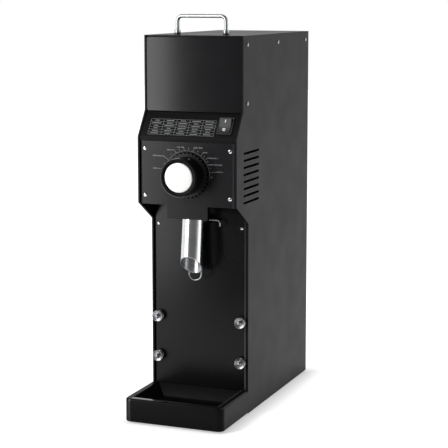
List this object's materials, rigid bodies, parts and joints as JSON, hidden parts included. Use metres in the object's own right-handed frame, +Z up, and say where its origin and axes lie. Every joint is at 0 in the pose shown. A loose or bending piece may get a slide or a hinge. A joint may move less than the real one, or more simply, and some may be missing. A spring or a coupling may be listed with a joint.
{
  "type": "electric coffee grinder",
  "caption": "Tall slim electric coffee grinder with a lidded bean hopper, a round grind dial, a rocker switch, a steel spout with a bag clamp and a tray at the foot.",
  "frame": {"origin": "on the floor under the middle of the cabinet", "axes": "+X to the right seen from the front, +Y to the back, +Z up"},
  "size_m": [0.1864, 0.438, 0.6952],
  "materials": {
    "black_steel": "satin black powder coat",
    "gloss_black": "glossy black",
    "zinc_steel": "zinc plated sheet and laminated steel",
    "rubber": "moulded",
    "bright_steel": "polished stainless",
    "tool_steel": "ground tool steel",
    "cast_iron": "cast and machined",
    "brass": "turned",
    "black_plastic": "fine satin",
    "grey_plastic": "fine satin",
    "white_plastic": "smooth white"
  },
  "bodies": {
    "housing": {"chamber_cover": "cast_iron", "chassis_plate": "zinc_steel", "clamp_bracket": "bright_steel", "control_box": "black_plastic", "control_fascia": "black_steel", "dial_bush": "brass", "dial_plate": "black_steel", "dial_plate_screw_lower_left": "bright_steel", "dial_plate_screw_lower_right": "bright_steel", "dial_plate_screw_upper_left": "bright_steel", "dial_plate_screw_upper_right": "bright_steel", "fixed_burr": "tool_steel", "foot_front_left": "rubber", "foot_front_right": "rubber", "foot_rear_left": "rubber", "foot_rear_right": "rubber", "front_bearing": "bright_steel", "front_tray": "gloss_black", "grinder_housing": "cast_iron", "head_floor": "black_steel", "hopper_front_panel": "gloss_black", "hopper_funnel": "zinc_steel", "lid_hinge_pin": "bright_steel", "lower_front_panel": "black_steel", "lower_panel_screw_left": "bright_steel", "lower_panel_screw_right": "bright_steel", "motor_cradle": "zinc_steel", "motor_front_bell": "cast_iron", "motor_rear_bell": "cast_iron", "motor_shell": "zinc_steel", "panel_stud_lower_left": "bright_steel", "panel_stud_lower_right": "bright_steel", "panel_stud_upper_left": "bright_steel", "panel_stud_upper_right": "bright_steel", "power_inlet": "black_plastic", "rear_bearing": "bright_steel", "rear_panel": "black_steel", "run_capacitor": "zinc_steel", "side_panel_left": "black_steel", "side_panel_right": "black_steel", "spout_tube": "bright_steel", "stator_core": "zinc_steel", "switch_body": "black_plastic", "top_cover": "black_steel"},
    "dial": {"dial_ring": "black_plastic", "dial_knob": "black_plastic", "knob_cap": "white_plastic", "dial_spindle": "bright_steel"},
    "feed": {"thrust_cup": "brass"},
    "rotor": {"main_shaft": "bright_steel", "burr_carrier": "cast_iron", "moving_burr": "tool_steel", "feed_auger": "cast_iron", "rotor_core": "zinc_steel", "cooling_fan": "black_plastic"},
    "lid": {"hopper_lid": "black_steel", "lid_handle": "bright_steel"},
    "rocker": {"rocker_key": "grey_plastic"},
    "bag_clamp": {"bag_clamp_wire": "bright_steel"}
  },
  "joints": [
    {"name": "dial_turn", "type": "hinge", "parent": "housing", "child": "dial", "pos_m": [0, -0.17, 0.425], "axis": [0, 1, 0], "range_deg": [-100, 100]},
    {"name": "burr_feed", "type": "slide", "parent": "housing", "child": "feed", "axis": [0, 1, 0], "range_m": [-0.0004, 0.0004]},
    {"name": "rotor_spin", "type": "hinge", "parent": "feed", "child": "rotor", "pos_m": [0, 0, 0.425], "axis": [0, 1, 0], "continuous": true},
    {"name": "lid_hinge", "type": "hinge", "parent": "housing", "child": "lid", "pos_m": [0, 0.0635, 0.6575], "axis": [-1, 0, 0], "range_deg": [0, 90]},
    {"name": "rocker_tilt", "type": "hinge", "parent": "housing", "child": "rocker", "pos_m": [0.0645, -0.1375, 0.50905], "axis": [-1, 0, 0], "range_deg": [0, 14]},
    {"name": "bag_clamp_swing", "type": "hinge", "parent": "housing", "child": "bag_clamp", "pos_m": [0, -0.109, 0.3437], "axis": [1, 0, 0], "range_deg": [-1.5, 9]}
  ],
  "couplings": [
    {"joint": "burr_feed", "follows": "dial_turn", "m_per_rad": 0.000223}
  ]
}
